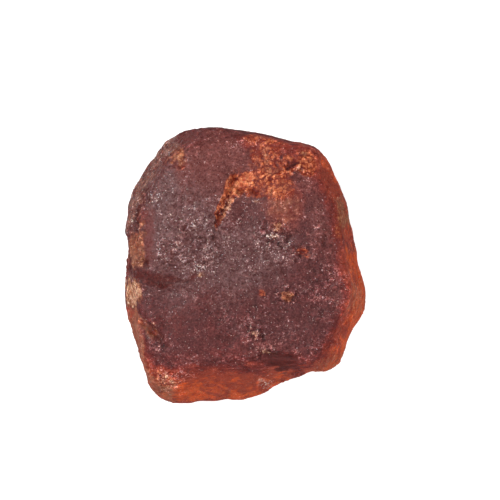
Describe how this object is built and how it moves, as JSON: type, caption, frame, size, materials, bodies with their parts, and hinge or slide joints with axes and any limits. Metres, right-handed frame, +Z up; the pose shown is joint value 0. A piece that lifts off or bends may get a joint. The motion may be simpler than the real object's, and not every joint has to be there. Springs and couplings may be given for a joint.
{
  "type": "rough garnet",
  "caption": "Rough uncut garnet: a flattened, water-worn broken crystal in frosted brownish red with orange edges, lying on its worn flat side.",
  "frame": {"origin": "middle of the stone's footprint box, on the surface it rests on", "axes": "+Z up from the worn flat to the broad weathered face, +Y along the stone's greatest length towards its torn, stained end, +X across it towards the bulge in its outline"},
  "size_m": [0.0202, 0.023, 0.0106],
  "materials": {
    "garnet": "frosted, water-worn natural crystal, translucent at thin edges"
  },
  "bodies": {
    "root": {"rough_garnet": "garnet"}
  },
  "joints": []
}
